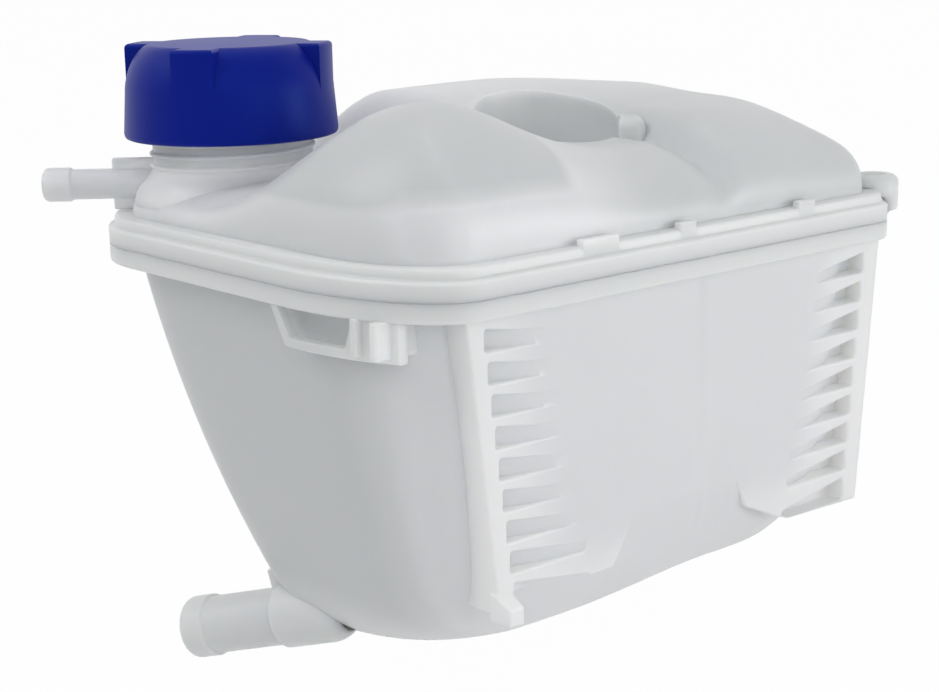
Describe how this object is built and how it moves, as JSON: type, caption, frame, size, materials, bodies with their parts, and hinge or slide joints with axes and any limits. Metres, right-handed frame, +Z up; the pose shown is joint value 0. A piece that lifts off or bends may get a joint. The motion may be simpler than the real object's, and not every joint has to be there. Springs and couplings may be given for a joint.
{
  "type": "coolant expansion tank",
  "caption": "Translucent moulded coolant expansion tank with a lobed dome, finned front plate, screw cap with a pressure valve, outlet spigot and return nipple",
  "frame": {"origin": "centre of the screw eye's hole, at the eye's lower face", "axes": "+X along the front plate to its right, +Y from the front plate to the back, +Z up along the screw eye's hole"},
  "size_m": [0.2374, 0.1832, 0.2096],
  "materials": {
    "tank_plastic": "translucent satin",
    "cap_plastic": "satin",
    "valve_plastic": "satin",
    "seal_rubber": "matte",
    "valve_steel": "satin",
    "poppet_brass": "satin"
  },
  "bodies": {
    "tank": {"upper_shell": "tank_plastic", "lower_shell": "tank_plastic"},
    "insert": {"valve_housing": "valve_plastic", "housing_o_ring": "seal_rubber", "spring_retainer": "valve_plastic", "relief_spring": "valve_steel"},
    "cap": {"cap_shell": "cap_plastic"},
    "relief": {"relief_disc": "valve_steel", "relief_seal": "seal_rubber", "vacuum_spring": "valve_steel"},
    "vacuum": {"vacuum_poppet": "poppet_brass"}
  },
  "joints": [
    {"name": "cap_rise", "type": "slide", "parent": "tank", "child": "insert", "axis": [0, 0, 1], "range_m": [0, 0.0209]},
    {"name": "cap_turn", "type": "hinge", "parent": "insert", "child": "cap", "pos_m": [-0.1779, 0.1243, 0.0325], "axis": [0, 0, 1], "range_deg": [0, 1980]},
    {"name": "relief_lift", "type": "slide", "parent": "insert", "child": "relief", "axis": [0, 0, 1], "range_m": [0, 0.0025], "stiffness_N_per_m": 500, "springref_m": -0.004, "deforming": ["relief_spring"]},
    {"name": "vacuum_drop", "type": "slide", "parent": "relief", "child": "vacuum", "axis": [0, 0, -1], "range_m": [0, 0.0012], "stiffness_N_per_m": 100, "springref_m": -0.002, "deforming": ["vacuum_spring"]}
  ],
  "couplings": [
    {"joint": "cap_turn", "follows": "cap_rise", "rad_per_m": 1653.5}
  ]
}
